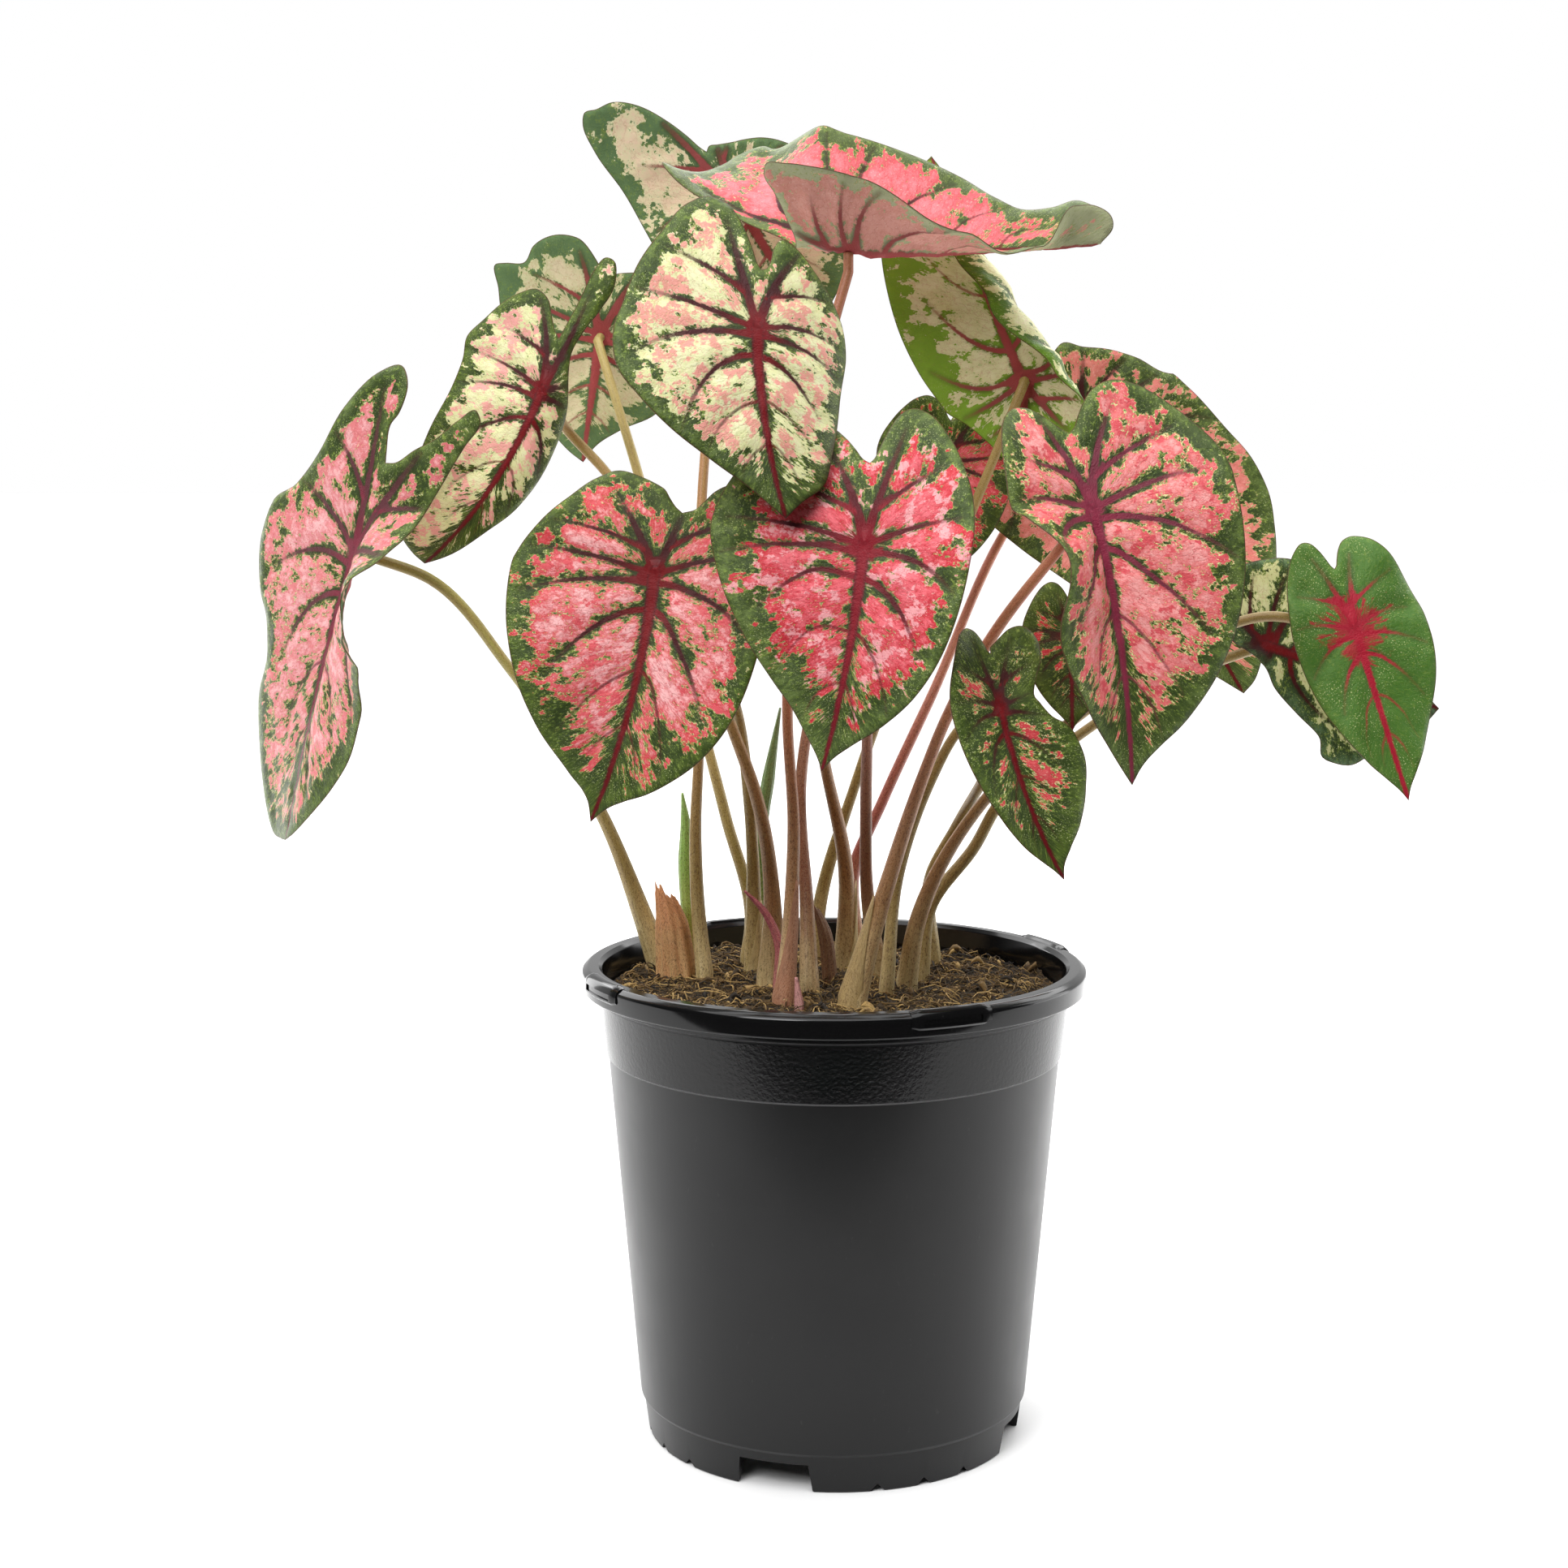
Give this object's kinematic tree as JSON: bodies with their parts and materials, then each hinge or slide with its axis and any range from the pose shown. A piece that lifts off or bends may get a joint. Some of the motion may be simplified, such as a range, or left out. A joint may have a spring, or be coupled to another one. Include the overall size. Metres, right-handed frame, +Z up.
{
  "type": "potted caladium",
  "caption": "Potted caladium: heart-shaped pink, cream and green leaves on slender stems, rooted in soil in a round black nursery pot with drain notches.",
  "frame": {"origin": "on the pot's axis, on the surface that the pot stands on, which is also the middle of the plant's spread", "axes": "+Z up the pot's axis, +X to the right and -Y towards the viewer of the plant's show side"},
  "size_m": [0.3926, 0.1898, 0.4389],
  "materials": {
    "pot_plastic": "black moulded plastic, glossy at the rim, fine orange-peel band, satin wall",
    "soil": "dark brown coir and peat with straw-coloured fibres",
    "tuber_skin": "rough brown corky skin",
    "blade_pink": "pink to red leaf, green margin and vein borders, dark red veins, soft sheen",
    "blade_cream": "cream and pink mottled leaf, green margin, red veins",
    "blade_green": "green leaf with yellow-green specks and red veins",
    "blade_underside": "pale matte leaf underside with raised ribs",
    "petiole_olive": "olive brown stem with fine dark specks, paler foot",
    "petiole_brown": "brown stem with fine dark specks, paler foot",
    "petiole_red": "reddish brown stem with fine dark specks",
    "dry_sheath": "dry papery brown sheath with fine ridges",
    "young_leaf": "rolled young green leaf",
    "pink_sheath": "thin pink sheath",
    "dark_sheath": "dark brown dry sheath"
  },
  "bodies": {
    "root": {"pot": "pot_plastic", "soil": "soil", "tuber_left": "tuber_skin", "tuber_front": "tuber_skin", "tuber_back": "tuber_skin", "blade_front_left": "blade_pink", "blade_front_middle": "blade_pink", "blade_front_right": "blade_pink", "blade_middle": "blade_cream", "blade_small_front": "blade_green", "blade_right": "blade_green", "blade_left": "blade_pink", "blade_upper_left": "blade_cream", "blade_back_left": "blade_underside", "blade_top": "blade_underside", "blade_top_back": "blade_underside", "blade_rolled": "blade_underside", "blade_back_right": "blade_pink", "blade_back_middle": "blade_pink", "blade_far_right": "blade_green", "blade_small_back": "blade_green", "petiole_front_left": "petiole_olive", "petiole_front_middle": "petiole_red", "petiole_front_right": "petiole_brown", "petiole_middle": "petiole_brown", "petiole_small_front": "petiole_olive", "petiole_right": "petiole_brown", "petiole_left": "petiole_olive", "petiole_upper_left": "petiole_brown", "petiole_back_left": "petiole_olive", "petiole_top": "petiole_red", "petiole_top_back": "petiole_olive", "petiole_rolled": "petiole_olive", "petiole_back_right": "petiole_red", "petiole_back_middle": "petiole_red", "petiole_far_right": "petiole_olive", "petiole_small_back": "petiole_olive", "dry_sheath": "dry_sheath", "spear_left": "young_leaf", "spear_right": "young_leaf", "pink_sheath": "pink_sheath", "pink_bud": "pink_sheath", "dark_sheath": "dark_sheath"}
  },
  "joints": []
}
